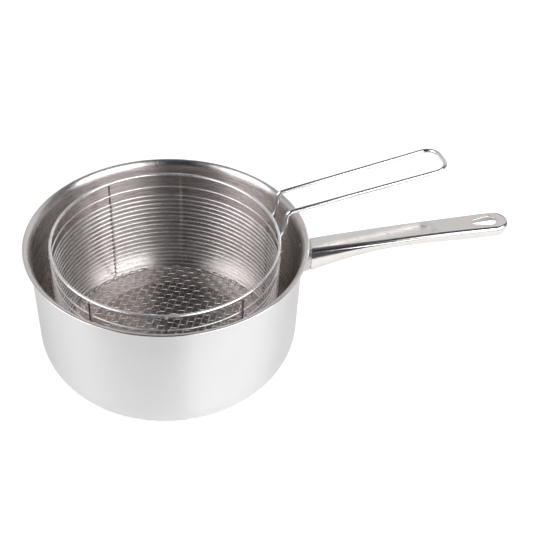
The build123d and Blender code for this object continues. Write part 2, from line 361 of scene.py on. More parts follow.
def brushedMetal(name, look, way=brushing):
    # Fine lines round the pot: noise that runs fast along the profile, radius + height, and slowly round it
    material, tree = newMaterial(name)
    x, y, z = addNode(tree, "SeparateXYZ", i0=objectPlace(tree)).outputs
    flat = addNode(tree, "CombineXYZ", i0=x, i1=y).outputs[0]
    around = addNode(tree, "VectorMath", {"operation": "NORMALIZE"}, i0=flat).outputs[0]
    turn = addNode(tree, "SeparateXYZ", i0=around).outputs
    along = mathNode(tree, "ADD", lengthNode(tree, flat), z)

    def roundNoise(scale, turns, detail, roughness):
        pairs = ((along, scale), (turn[0], turns), (turn[1], turns))
        parts = [mathNode(tree, "MULTIPLY", *pair) for pair in pairs]
        spot = addNode(tree, "CombineXYZ", i0=parts[0], i1=parts[1], i2=parts[2]).outputs[0]
        return noiseNode(tree, spot, 1.0, detail, roughness)

    lines, clouds = roundNoise(*way["lineNoise"]), roundNoise(*way["cloudNoise"])
    mixed = mathNode(tree, "ADD", *[mathNode(tree, "MULTIPLY", noise, 0.5) for noise in (lines, clouds)])
    dark = toned(look["color"], 1 - look["tone"])
    light = toned(look["color"], min(1 + look["tone"], 1 / max(look["color"])))
    tangent = addNode(tree, "Tangent", {"direction_type": "UV_MAP", "uv_map": "UVMap"}).outputs[0]
    endMetal(
        tree, lines, look["lines"], way["bumpDepth"],
        Base_Color=toneBetween(tree, mixed, dark, light),
        Roughness=roughBetween(tree, lines, look["roughness"], way["roughShares"]),
        Specular_Tint=look["edge"],
        Anisotropic=look["anisotropic"], Anisotropic_Rotation=way["rotation"], Tangent=tangent,
    )
    return material


def grainedMetal(name, look, way=graining):
    # Polished or plain metal with a faint grain that is drawn out along X, and slow changes of tone
    material, tree = newMaterial(name)
    drawn = addNode(tree, "Mapping", Vector=objectPlace(tree), Scale=look["stretch"]).outputs[0]
    grain = noiseNode(tree, drawn, look["scale"], *way["grainDetail"])
    clouds = noiseNode(tree, drawn, look["scale"] * way["cloudShare"], way["cloudDetail"])
    dark, light = toned(look["color"], 1 - look["tone"]), toned(look["color"], 1 + look["tone"] / 2)
    endMetal(
        tree, grain, look["grain"], way["bumpDepth"],
        Base_Color=toneBetween(tree, clouds, dark, light),
        Roughness=roughBetween(tree, grain, look["roughness"], way["roughShares"]),
    )
    return material


def wireMetal(name, look, way=drawing):
    # Drawn wire: slow tone changes, fine scratches, and a darker, rougher tint where the wire's mark
    # attribute rises to 1: the real tint of a weld, and on the net's folded ends painted shade
    material, tree = newMaterial(name)
    place = objectPlace(tree)
    fine = noiseNode(tree, place, look["scale"] * way["fineShare"], way["fineDetail"])
    slow = noiseNode(tree, place, look["scale"] * way["slowShare"], way["slowDetail"])
    mark = addNode(tree, "Attribute", {"attribute_name": "weldAndShadeMark"}).outputs["Fac"]
    bare = toneBetween(tree, slow, *[toned(look["color"], share) for share in way["toneShares"]])
    tint = mathNode(tree, "MULTIPLY", mark, way["weldAndShadeTint"], clamp=True)
    dulled = mathNode(tree, "MULTIPLY", mark, way["weldRoughness"])
    rough = roughBetween(tree, fine, look["roughness"], way["roughShares"])
    endMetal(
        tree, fine, way["bump"], way["bumpDepth"],
        Base_Color=mixColors(tree, tint, bare, look["weldAndShadeColor"]),
        Roughness=mathNode(tree, "ADD", rough, dulled),
    )
    return material


finishes = {}
for maker, columns, table in (
    (brushedMetal, potColumns, potFinishes),
    (grainedMetal, plainColumns, plainFinishes),
    (wireMetal, wireColumns, wireFinishes),
):
    finishes.update({name: maker(name, dict(zip(columns, row))) for name, row in table.items()})
print("finishes ready:", len(finishes))


# Mesh helpers

fullTurn = 2 * np.pi
mirrorY = np.array([1, -1, 1])
# Lengths below which two places count as one, and below which nothing is divided
samePlace, tiny = 1e-4, 1e-6


def frameAt(azimuth):
    # Outward, sideways and upward unit vectors at an azimuth in degrees
    angle = np.radians(azimuth)
    out = np.array([np.sin(angle), -np.cos(angle), 0.0])
    return out, np.array([np.cos(angle), np.sin(angle), 0.0]), np.array([0, 0, 1.0])


def runLength(curve):
    # Length of a polyline up to each of its points
    return np.concatenate([[0], np.cumsum(np.linalg.norm(np.diff(curve, axis=0), axis=1))])


def roundTurn(sides):
    # Angles evenly round a circle
    return np.linspace(0, fullTurn, sides, endpoint=False)


def gridQuads(rows, columns, closeRows=False, closeColumns=False):
    # Corner numbers of every cell of a rows by columns grid
    i, j = np.meshgrid(
        np.arange(rows if closeRows else rows - 1),
        np.arange(columns if closeColumns else columns - 1),
        indexing="ij",
    )
    iNext, jNext = (i + 1) % rows, (j + 1) % columns
    corners = [i * columns + j, iNext * columns + j, iNext * columns + jNext, i * columns + jNext]
    return np.stack(corners, axis=-1).reshape(-1, 4)


def tubeFaces(stations, sides):
    # The side cells of an open tube of rings, and its two end faces
    caps = np.stack([np.arange(sides), np.arange(sides)[::-1] + (stations - 1) * sides])
    return [gridQuads(stations, sides, closeColumns=True), caps]


def tubePoints(centre, sideways, upwards, radius, sides):
    # Rings of a round tube: centre + radius * (cos t * sideways + sin t * upwards), for turns t
    turn = roundTurn(sides)[:, None]
    thick = np.broadcast_to(radius, len(centre))[:, None, None]
    ring = np.cos(turn) * sideways[..., None, :] + np.sin(turn) * upwards[..., None, :]
    return (centre[:, None] + thick * ring).reshape(-1, 3)


def joinPoints(points, faces, tolerance=0.004):
    # Points in the same place become one. Cells that lose a corner become triangles, and those that lose more
    # go. The last result is the numbers of the points that were kept.
    keys = np.round(points / tolerance).astype(np.int64)
    _, first, back = np.unique(keys, axis=0, return_index=True, return_inverse=True)
    back = back.ravel()
    kept = []
    for group in faces:
        group = back[group]
        same = group == np.roll(group, -1, axis=1)
        count = same.sum(axis=1)
        kept.append(group[count == 0])
        if group.shape[1] == 4:
            kept.append(group[count == 1][~same[count == 1]].reshape(-1, 3))
    return points[first], [group for group in kept if len(group)], first


def signedVolume(points, faces):
    # Sum over each face's fan of the triple product of its corners, positive where the faces point outwards
    total = 0.0
    for group in faces:
        first = points[group[:, 0]]
        for corner in range(1, group.shape[1] - 1):
            fan = np.cross(points[group[:, corner]], points[group[:, corner + 1]])
            total += np.einsum("ij,ij->", first, fan)
    return total


def makePiece(
    name, points, faces, body, finish, replaced=(), faceFinish=None, marks=None, uv=None, sharp=None
):
    # Puts whole arrays into a mesh. faces is a list of arrays, one for each number of corners.
    if signedVolume(points, faces) < 0:
        faces = [group[:, ::-1] for group in faces]
        uv = [group[:, ::-1] for group in uv] if uv else None
    corners = np.concatenate([group.ravel() for group in faces])
    sizes = np.concatenate([np.full(len(group), group.shape[1]) for group in faces])
    mesh = bpy.data.meshes.new(name)
    mesh.vertices.add(len(points))
    mesh.vertices.foreach_set("co", (points * mm).ravel())
    mesh.loops.add(len(corners))
    mesh.loops.foreach_set("vertex_index", corners)
    mesh.polygons.add(len(sizes))
    mesh.polygons.foreach_set("loop_start", np.concatenate([[0], np.cumsum(sizes)[:-1]]))
    mesh.polygons.foreach_set("use_smooth", np.ones(len(sizes), dtype=bool))
    for item in finish if isinstance(finish, list) else [finish]:
        mesh.materials.append(finishes[item])
    if faceFinish is not None:
        mesh.polygons.foreach_set("material_index", faceFinish.astype(np.int32))
    if uv:
        layer = mesh.uv_layers.new(name="UVMap")
        layer.data.foreach_set("uv", np.concatenate([group.reshape(-1, 2) for group in uv]).ravel())
    if marks is not None:
        mesh.attributes.new("weldAndShadeMark", "FLOAT", "POINT").data.foreach_set("value", marks)
    mesh.update(calc_edges=True)
    if sharp:
        mesh.set_sharp_from_angle(angle=np.radians(sharp))
    piece = addObject(name, mesh)
    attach(piece, body)
    if replaced:
        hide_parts(*replaced)


def arcPoints(centreX, centreZ, radius, start, stop, count):
    # Points of a circle's arc: centre + radius * (cos, sin) of angles in degrees
    angle = np.radians(np.linspace(start, stop, count))
    return np.stack([centreX + radius * np.cos(angle), centreZ + radius * np.sin(angle)], axis=1)


def profileChain(*pieces):
    # Joins stretches of a profile and leaves out the repeated ends
    chain = np.concatenate(pieces)
    step = np.linalg.norm(np.diff(chain, axis=0), axis=1)
    return chain[np.concatenate([[True], step > tiny])]


def revolve(profile, steps):
    # A profile of (radius, height) turned about Z: (radius * sin, -radius * cos, height). Both its ends are
    # on the axis. U runs round the axis and V along the profile, in metres.
    turn = roundTurn(steps)
    body = profile[1:-1]
    rows = len(body)
    x = np.outer(body[:, 0], np.sin(turn))
    y = -np.outer(body[:, 0], np.cos(turn))
    z = np.repeat(body[:, 1:], steps, axis=1)
    poles = [[0, 0, profile[0, 1]], [0, 0, profile[-1, 1]]]
    points = np.concatenate([np.stack([x, y, z], axis=-1).reshape(-1, 3), poles])
    j = np.arange(steps)
    last = (rows - 1) * steps
    startFan = np.stack([np.full(steps, rows * steps), j, (j + 1) % steps], axis=1)
    stopFan = np.stack([np.full(steps, rows * steps + 1), last + (j + 1) % steps, last + j], axis=1)
    length = runLength(profile) * mm
    row, column = np.divmod(np.arange(last), steps)
    u, uNext = column / steps, (column + 1) / steps
    v, vNext = length[1:-1][row], length[1:-1][row + 1]
    corners = ((u, v), (u, vNext), (uNext, vNext), (uNext, v))
    quadUv = np.stack([np.stack(corner, axis=1) for corner in corners], axis=1)

    def fanUv(fanU, fanV):
        return np.stack([np.stack(fanU, axis=1), np.broadcast_to(fanV, (steps, 3))], axis=-1)

    middle, left, right = (j + 0.5) / steps, j / steps, (j + 1) / steps
    startUv = fanUv([middle, left, right], [length[0], length[1], length[1]])
    stopUv = fanUv([middle, right, left], [length[-1], length[-2], length[-2]])
    return points, [gridQuads(rows, steps, closeColumns=True), startFan, stopFan], [quadUv, startUv, stopUv]


# Pot

def makePot(size):
    # The shell's section turned about Z: floor, inner corner and wall, lip, outer wall and corner, underside
    rows, wall, lip, bend = size["rows"], size["wall"], size["lipRadius"], size["cornerRadius"]
    inner = size["radius"] - wall
    cornerX, cornerZ = size["radius"] - bend, size["shellBottom"] + bend
    lipX, lipZ = inner + lip, size["height"] - lip
    under = lip - wall
    lipEnd = 90 - size["lipOverturn"]
    edge = arcPoints(lipX, lipZ, lip - wall / 2, lipEnd, lipEnd, 1)[0]
    floorZ = size["shellBottom"] + wall
    # The wall flares into the lip over a quarter ellipse that is taller than the lip's own round
    tall = size["lipFlare"] / lip
    inFlare = arcPoints(0, 0, lip, 180, 90, rows["flare"]) * (1, tall)
    inFlare = inFlare + (lipX, size["height"] - size["lipFlare"])
    outFlare = arcPoints(0, 0, under, 90, 180, rows["outFlare"]) * (1, tall)
    outFlare = outFlare + (lipX, size["height"] - wall - under * tall)
    insideStretch = profileChain(
        np.linspace((0, floorZ), (cornerX, floorZ), rows["floor"]),
        arcPoints(cornerX, cornerZ, bend - wall, -90, 0, rows["corner"]),
        np.linspace((inner, cornerZ), inFlare[0], rows["wall"]),
    )
    rimStretch = profileChain(
        arcPoints(lipX, lipZ, lip, 90, lipEnd, rows["lip"]),
        arcPoints(edge[0], edge[1], wall / 2, lipEnd, lipEnd - 180, rows["edge"]),
        arcPoints(lipX, lipZ, under, lipEnd, 90, rows["lip"]),
    )
    outsideStretch = profileChain(
        outFlare,
        np.linspace(outFlare[-1], (size["radius"], cornerZ), rows["outWall"]),
        arcPoints(cornerX, cornerZ, bend, 0, -90, rows["outCorner"]),
        np.linspace((cornerX, size["shellBottom"]), (0, size["shellBottom"]), rows["underside"]),
    )
    steps = size["steps"]
    points, faces, uv = revolve(profileChain(insideStretch, inFlare, rimStretch, outsideStretch), steps)
    # The floor's finish is painted darker than the wall, as painted shade under the basket
    materials = ["ground", "inside", "flare", "rim", "outside"]
    groundRows = np.count_nonzero(insideStretch[:, 0] <= cornerX) - 2
    rowsOfEach = [groundRows, len(insideStretch) - 1 - groundRows, len(inFlare) - 1, len(rimStretch) - 1]
    finishOfQuad = np.searchsorted(np.cumsum(rowsOfEach), np.arange(len(faces[0])) // steps, side="right")
    faceFinish = np.concatenate([finishOfQuad, np.zeros(steps), np.full(steps, len(materials) - 1)])
    makePiece("potShell", points, faces, "pot", materials, ["pot_body"], faceFinish, uv=uv)


base = {
    "radius": 86.0, "edge": 1.6, "wall": 0.6, "top": 4.0,
    "recess": 0.25, "recessRadius": 30.0, "recessSlope": 1.2, "steps": 360, "sharp": 40,
    "rows": {
        "recess": 5, "slope": 3, "foot": 8, "edge": 10, "side": 3, "top": 2, "innerEdge": 8, "inside": 6,
    },
}


def makeBase(size):
    # The cap's section turned about Z: underside with a shallow recess, rounded edge, short wall, inner side
    outer, edge, wall, top, recess = [size[key] for key in ("radius", "edge", "wall", "top", "recess")]
    rows, bend = size["rows"], outer - edge
    slopeStart = size["recessRadius"]
    slopeStop = slopeStart + size["recessSlope"]
    profile = profileChain(
        np.linspace((0, recess), (slopeStart, recess), rows["recess"]),
        np.linspace((slopeStart, recess), (slopeStop, 0), rows["slope"]),
        np.linspace((slopeStop, 0), (bend, 0), rows["foot"]),
        arcPoints(bend, edge, edge, -90, 0, rows["edge"]),
        np.linspace((outer, edge), (outer, top), rows["side"]),
        np.linspace((outer, top), (outer - wall, top), rows["top"]),
        np.linspace((outer - wall, top), (outer - wall, edge), rows["side"]),
        arcPoints(bend, edge, edge - wall, 0, -90, rows["innerEdge"]),
        np.linspace((bend, wall), (0, wall), rows["inside"]),
    )
    points, faces, uv = revolve(profile, size["steps"])
    makePiece("baseCap", points, faces, "pot", "base", ["base_cap"], uv=uv, sharp=size["sharp"])


makePot(pot)
makeBase(base)
nodes["base_core"].data.materials.clear()
nodes["base_core"].data.materials.append(finishes["core"])
print("pot ready")


# Pot handle

handle = {
    "wall": 1.5, "reach": 192.0, "standOff": 9.0, "drop": 15.8, "rootDepth": 22.8, "rootSlope": 10.6,
    "crownRadius": 2200.0, "overrun": 2.0,
    "rootHalfWidth": 13.2, "waistHalfWidth": 12.3, "endHalfWidth": 13.2, "waistShare": 0.52,
    "creaseHeight": 4.5, "creaseInset": 1.0, "creaseShares": (0.06, 0.5, 0.94, 1.0), "firstTopShare": 0.06,
    # At shares of the reach: the shoulder's radius, the side's bulge in degrees, and the crest's rise
    "sections": (
        (0.0, 4.0, 20.0, 2.2), (0.19, 4.0, 18.0, 1.0), (0.35, 3.8, 13.0, 0.3),
        (0.57, 3.5, 6.0, 0.1), (0.79, 3.2, 2.0, 0.0), (1.0, 3.0, 0.5, 0.0),
    ),
    "depthShares": ((0.0, 1.0), (0.186, 0.645), (0.351, 0.434), (0.567, 0.392), (0.789, 0.44), (1.0, 0.38)),
    "holeEndDistance": 17.5, "holeLength": 12.5,
    "holeLargeRadius": 6.6, "holeSmallRadius": 3.6, "holeEdge": 0.35,
    # Stations along the handle, rows across its section, and points of the outlines before evening out
    "sideStations": 110, "holeStations": 70, "edgeRows": 4, "topRows": 14, "shoulderRows": 14, "sideRows": 9,
    "outlineSteps": 400, "tipSteps": 120, "holeSteps": (40, 80), "sharp": 38,
}
bracket = {"wallGap": 0.05, "inset": 1.75, "wall": 1.5, "plate": 2.0, "tongue": 16.0, "stations": 16}


def circleThrough(first, second, third):
    # Centre of the circle through three points, from the two equations of equal distance
    first, second, third = np.array(first), np.array(second), np.array(third)
    rows = 2 * np.array([second - first, third - first])
    sides = np.array([second @ second - first @ first, third @ third - first @ first])
    return np.linalg.solve(rows, sides)


def smoothThrough(x, knots, values):
    # Cubic pieces through the knots, with slopes from the neighbouring knots
    slopes = np.gradient(values, knots)
    cell = np.clip(np.searchsorted(knots, x) - 1, 0, len(knots) - 2)
    width = knots[cell + 1] - knots[cell]
    t = (x - knots[cell]) / width
    rise = (2 * t**3 - 3 * t**2 + 1) * values[cell] + (3 * t**2 - 2 * t**3) * values[cell + 1]
    return rise + ((t**3 - 2 * t**2 + t) * slopes[cell] + (t**3 - t**2) * slopes[cell + 1]) * width


def handleTop(size, x):
    # Height of the handle's top: a long arc that starts at the root slope
    along = x - pot["radius"]
    rise = along * np.tan(np.radians(size["rootSlope"]))
    return pot["height"] - size["drop"] + rise - along**2 / (2 * size["crownRadius"])


def handleDepth(size, x):
    # Depth of the handle's side: shares of the root's depth, at shares of the length
    shares = np.array(size["depthShares"])
    knots = pot["radius"] + shares[:, 0] * (size["reach"] + size["overrun"])
    return smoothThrough(x, knots, shares[:, 1] * size["rootDepth"])


def handleSection(size, x):
    # The shoulder's radius, the side's bulge and the crest's rise at a place along the handle
    table = np.array(size["sections"])
    knots = pot["radius"] + table[:, 0] * size["reach"]
    return [smoothThrough(x, knots, column) for column in table[:, 1:].T]


def handleHalfWidth(size, x):
    # Half the width from above: a long shallow arc through the root, the waist and the end
    root = (pot["radius"], size["rootHalfWidth"])
    waist = (pot["radius"] + size["reach"] * size["waistShare"], size["waistHalfWidth"])
    end = (pot["radius"] + size["reach"] - size["endHalfWidth"], size["endHalfWidth"])
    centre = circleThrough(root, waist, end)
    big = np.hypot(*(np.array(root) - centre))
    return centre[1] - np.sqrt(big**2 - (x - centre[0]) ** 2)


def alongCurve(curve, count):
    # Evenly spaced points on a polyline, by its length
    length = runLength(curve)
    spots = np.linspace(0, length[-1], count)
    return np.stack([np.interp(spots, length, curve[:, axis]) for axis in range(curve.shape[1])], axis=1)


def handleOutline(size):
    # Half of the outline from above: the long arc, then a quarter round to the tip
    endX = pot["radius"] + size["reach"] - size["endHalfWidth"]
    x = np.linspace(pot["radius"] + size["standOff"], endX, size["outlineSteps"])
    side = np.column_stack([x, handleHalfWidth(size, x)])
    flare = np.arctan2(side[-1, 1] - side[-2, 1], side[-1, 0] - side[-2, 0])
    tipCentre = endX + size["endHalfWidth"] * np.tan(flare)
    tipRadius = size["endHalfWidth"] / np.cos(flare)
    tip = arcPoints(tipCentre, 0.0, tipRadius, 90 + np.degrees(flare), 0, size["tipSteps"])
    return np.concatenate([side, tip[1:]])


def holeOutline(size):
    # Half of the teardrop hole, from its narrow end to its round end: arc, common tangent, arc
    large, small = size["holeLargeRadius"], size["holeSmallRadius"]
    largeX = pot["radius"] + size["reach"] - size["holeEndDistance"]
    smallX = largeX - size["holeLength"]
    lean = np.degrees(np.arccos(-(large - small) / size["holeLength"]))
    smallSteps, largeSteps = size["holeSteps"]
    smallArc = arcPoints(smallX, 0.0, small, 180, lean, smallSteps)
    return np.concatenate([smallArc, arcPoints(largeX, 0.0, large, lean, 0, largeSteps)])


def outwardNormals(curve):
    # Each point's step (dx, dy) turned to (-dy, dx)
    step = np.gradient(curve, axis=0)
    return unit(np.stack([-step[:, 1], step[:, 0]], axis=1))


def sheetSide(size, rim, normal, inner, isHoled, offset):
    # One side of the pressed sheet, drawn in by the offset. Ribs run from the spine, or from the hole's edge,
    # over two arcs, centre + radius * (sin b * normal + cos b * up): the shoulder, then the bulging side down
    # to the knee. The crease follows.
    shoulder, bulge, rise = [column[:, None] for column in handleSection(size, rim[:, 0])]
    bottom = (handleTop(size, rim[:, 0]) - handleDepth(size, rim[:, 0]))[:, None]
    kneeZ = bottom + size["creaseHeight"]
    crest = handleTop(size, rim[:, 0])[:, None] + rise
    tilt = np.radians(90 - bulge)
    sideRadius = (crest - kneeZ - shoulder * (1 - np.cos(tilt))) / np.cos(tilt)
    start = rim - (sideRadius - (sideRadius - shoulder) * np.sin(tilt)) * normal
    radius = shoulder - offset
    edge = size["holeEdge"]
    reachOut = start - inner
    length = np.linalg.norm(reachOut, axis=1, keepdims=True)
    rimward = reachOut / np.maximum(length, tiny)
    points = []

    def topZ(plan):
        return handleTop(size, plan[:, :1]) + handleSection(size, plan[:, :1])[2] - offset

    for turn in np.radians(np.linspace(0, 90, size["edgeRows"])):
        plan = inner + edge * (1 - np.cos(turn)) * rimward
        points.append(np.hstack([plan, topZ(plan) - edge * (1 - np.sin(turn)) * isHoled[:, None]]))
    for share in np.linspace(size["firstTopShare"], 1.0, size["topRows"]):
        plan = inner + rimward * (edge + (length - edge) * share)
        points.append(np.hstack([plan, topZ(plan)]))
    for share in np.linspace(0, 1, size["shoulderRows"] + 1)[1:]:
        bend = share * tilt
        ribZ = crest - shoulder + radius * np.cos(bend)
        points.append(np.hstack([start + radius * np.sin(bend) * normal, ribZ]))
    for share in np.linspace(0, 1, size["sideRows"] + 1)[1:]:
        bend = tilt + share * (np.pi / 2 - tilt)
        inward = sideRadius - (sideRadius - offset) * np.sin(bend)
        points.append(np.hstack([rim - inward * normal, kneeZ + (sideRadius - offset) * np.cos(bend)]))
    knee = points[-1]
    lowest = np.hstack([rim - (offset + size["creaseInset"]) * normal, bottom])
    return points + [knee + (lowest - knee) * share for share in size["creaseShares"]]


def sheetCap(count):
    # Closes the open end of a sheet's section, whose outer ribs are followed by its inner ribs in reverse
    k = np.arange(count // 2 - 1)
    return np.stack([k + 1, k, count - 1 - k, count - 2 - k], axis=1)


def mirroredY(half, quads):
    # Adds the other half of a piece that is the same on both sides of y = 0
    points = np.concatenate([half, half * mirrorY])
    return joinPoints(points, [np.concatenate([quads, quads[:, ::-1] + len(half)])])


def makeHandle(size):
    # Ribs at every station of the outline, down the outer side and up the inner one, and their mirror image
    outline, hole = handleOutline(size), holeOutline(size)
    cut = np.searchsorted(outline[:, 0], hole[0, 0])
    plain = alongCurve(outline[: cut + 1], size["sideStations"])[:-1]
    holed = alongCurve(outline[cut:], size["holeStations"])
    rim = np.concatenate([plain, holed])
    spine = np.stack([plain[:, 0], np.zeros(len(plain))], axis=1)
    inner = np.concatenate([spine, alongCurve(hole, len(holed))])
    normal = outwardNormals(rim)
    normal[-1] = (1.0, 0.0)
    stations = len(rim)
    isHoled = (np.arange(stations) >= len(plain)).astype(float)
    outer = sheetSide(size, rim, normal, inner, isHoled, 0.0)
    inside = sheetSide(size, rim, normal, inner, isHoled, size["wall"])
    # The hole's edge is rounded on the inner side too, so there the drop turns into a rise
    for rib, turn in zip(inside, np.radians(np.linspace(0, 90, size["edgeRows"]))):
        rib[:, 2] += 2 * size["holeEdge"] * (1 - np.sin(turn)) * isHoled
    grid = np.stack(outer + inside[::-1], axis=1)
    count = grid.shape[1]
    near = np.arange(len(plain), stations - 1) * count
    far = near + count
    holeWall = np.stack([near + count - 1, far + count - 1, far, near], axis=1)
    quads = np.concatenate([gridQuads(stations, count), holeWall, sheetCap(count)])
    points, faces, kept = mirroredY(grid.reshape(-1, 3), quads)
    # The inner side is left unpolished
    isInner = kept % count >= count // 2
    faceFinish = np.concatenate([isInner[group].mean(axis=1) > 0.5 for group in faces])
    materials = ["handle", "handleInside"]
    makePiece(
        "potHandle", points, faces, "pot", materials, ["pot_handle"], faceFinish,
        sharp=size["sharp"],
    )


def makeBracket(size, stub):
    # A stub of the handle's own section, drawn in, from the pot's wall into the handle, and a plate in it
    startX = pot["radius"] + stub["wallGap"]

    def side(x, offset):
        rim = np.column_stack([x, handleHalfWidth(size, x)])
        inner = np.column_stack([x, np.zeros(len(x))])
        return np.stack(sheetSide(size, rim, outwardNormals(rim), inner, np.zeros(len(x)), offset), axis=1)

    def ontoWall(grid):
        # Points move by (sqrt(R^2 - y^2) - R) at the wall, fading to nothing at the other end
        x = grid[..., :1]
        fade = 1 - (x - startX) / (x.max() - startX)
        grid[..., :1] += fade * (np.sqrt(startX**2 - grid[..., 1:2] ** 2) - startX)
        return grid

    x = np.linspace(startX, pot["radius"] + size["standOff"] + stub["tongue"], stub["stations"])
    outer, inside = side(x, stub["inset"]), side(x, stub["inset"] + stub["wall"])
    grid = ontoWall(np.concatenate([outer, inside[:, ::-1]], axis=1))
    count = grid.shape[1]
    rootCap = sheetCap(count)
    endCap = rootCap[:, ::-1] + (len(x) - 1) * count
    stubQuads = np.concatenate([gridQuads(len(x), count), rootCap, endCap])
    stubPoints, stubFaces, _ = mirroredY(grid.reshape(-1, 3), stubQuads)
    x = np.array([startX, pot["radius"] + stub["plate"]])
    plate = ontoWall(side(x, stub["inset"] + stub["wall"] / 2))
    rows = plate.shape[1]
    points = np.concatenate([plate.reshape(-1, 3), plate.reshape(-1, 3) * mirrorY])
    strip = gridQuads(2, rows)
    k = np.arange(rows - 1)
    wallCap = np.stack([k + 1, k, k + 2 * rows, k + 1 + 2 * rows], axis=1)
    bottom = np.array([[rows - 1, 3 * rows - 1, 4 * rows - 1, 2 * rows - 1]])
    plateQuads = np.concatenate([strip, strip[:, ::-1] + 2 * rows, wallCap, wallCap[:, ::-1] + rows, bottom])
    platePoints, plateFaces, _ = joinPoints(points, [plateQuads])
    points = np.concatenate([stubPoints, platePoints])
    faces = stubFaces + [group + len(stubPoints) for group in plateFaces]
    makePiece(
        "handleBracket", points, faces, "pot", "bracket", ["handle_bracket"], sharp=size["sharp"]
    )


makeHandle(handle)
makeBracket(handle, bracket)
print("pot handle ready")


# Basket

basket = {
    "offset": (-1.5, 1.0), "radius": 104.0, "wireGap": 0.1, "seatClearance": 0.35,
    "topWire": 3.0, "sideWire": 1.4, "bottomWire": 2.0, "uprightWire": 1.8,
    "topDrop": 3.0, "secondStep": 15.1, "thirdStep": 10.4, "sideRings": 19,
    "azimuths": (-1.0, 36.5, 78.0, 100.5, 112.0, 171.5, 211.3, 250.0, 282.0, 322.0), "shortAzimuth": 112.0,
    "netWire": 1.0, "netPitch": 6.6, "netTurn": -18.0,
}


def basketHeights(size):
    # The basket's hem rests in the pot's round corner, which gives the height of the bottom ring, and then
    # of the others
    hem = size["bottomWire"] / 2 + size["netWire"]
    bottomRadius = size["radius"] - hem
    side = bottomRadius + np.hypot(*size["offset"]) - (pot["radius"] - pot["cornerRadius"])
    reach = pot["cornerRadius"] - pot["wall"] - hem - size["seatClearance"]
    bottomZ = pot["shellBottom"] + pot["cornerRadius"] - np.sqrt(reach**2 - side**2)
    topZ = pot["height"] - size["topDrop"]
    second = topZ - size["secondStep"]
    third = second - size["thirdStep"]
    pitch = (third - bottomZ) / (size["sideRings"] - 1)
    sides = np.concatenate([[second], third - pitch * np.arange(size["sideRings"] - 1)])
    return {"bottomRadius": bottomRadius, "bottomZ": bottomZ, "topZ": topZ, "sideZ": sides}


heights = basketHeights(basket)
basketCentre = np.array([*basket["offset"], 0.0])
tallAzimuths = [azimuth for azimuth in basket["azimuths"] if azimuth != basket["shortAzimuth"]]

# How round and fine each ring is, how much it swells at a weld, and how dull it gets there
ringLooks = {
    "top": {"sides": 16, "steps": 360, "swell": 0.0, "dulling": 0.6},
    "side": {"sides": 10, "steps": 220, "swell": 0.22, "dulling": 1.0},
    "bottom": {"sides": 12, "steps": 220, "swell": 0.0, "dulling": 0.0},
}
ringWeld = {"width": 0.9, "cluster": (-3.2, -2.0, -1.3, -0.8, -0.4, 0.0, 0.4, 0.8, 1.3, 2.0, 3.2)}
upright = {
    "sides": 10, "tip": 0.3, "footRise": 0.5, "topWeldDrop": 0.6, "betweenDrop": 2.6,
    "weldWidth": 0.75, "swell": 0.20, "lean": 0.15, "cluster": (-1.6, -1.0, -0.5, 0.0, 0.5, 1.0, 1.6),
    "roundLength": 0.5, "leastShare": 0.04,
}


def nearness(distance, width):
    # A bell of height 1: exp(-(distance / width)^2)
    return np.exp(-(distance / width) ** 2)


def ringOfWire(radius, height, wire, look, welds):
    # A tube round the circle (R sin a, -R cos a, z), whose wire radius is raised by a bell at every weld
    cluster = np.array(ringWeld["cluster"]) / radius
    angle = np.unique(np.round(np.concatenate([
        roundTurn(look["steps"]), (welds[:, None] + cluster).ravel() % fullTurn,
    ]), 5))
    away = np.abs((angle[:, None] - welds + np.pi) % fullTurn - np.pi) * radius
    mark = nearness(away, ringWeld["width"]).max(axis=1)
    out = np.stack([np.sin(angle), -np.cos(angle), np.zeros(len(angle))], axis=1)
    up = np.array([0, 0, 1.0])
    thick = wire / 2 * (1 + look["swell"] * mark)
    points = tubePoints(radius * out + height * up, out, up, thick, look["sides"])
    quads = gridQuads(len(angle), look["sides"], True, True)
    return points + basketCentre, quads, np.repeat(mark * look["dulling"], look["sides"])


def makeRings(size):
    # The short upright ends below the top ring, so it has no weld there
    allWelds = np.radians(size["azimuths"]) % fullTurn
    tallWelds = np.radians(tallAzimuths) % fullTurn

    def addRing(name, node, radius, height, wire, look, welds):
        points, quads, marks = ringOfWire(radius, height, wire, look, welds)
        makePiece(name, points, [quads], "basket", "ringWire", [node], marks=marks)

    top, side, bottom = size["topWire"], size["sideWire"], size["bottomWire"]
    topRadius, sideRadius = size["radius"] - top / 2, size["radius"] - side / 2
    addRing("topRing", "basket_top_ring", topRadius, heights["topZ"], top, ringLooks["top"], tallWelds)
    for number, z in enumerate(heights["sideZ"], start=1):
        name, node = f"sideRing{number:02d}", f"side_ring_{number:02d}"
        addRing(name, node, sideRadius, z, side, ringLooks["side"], allWelds)
    bottomRadius, z = heights["bottomRadius"], heights["bottomZ"]
    addRing("bottomRing", "basket_bottom_ring", bottomRadius, z, bottom, ringLooks["bottom"], allWelds)


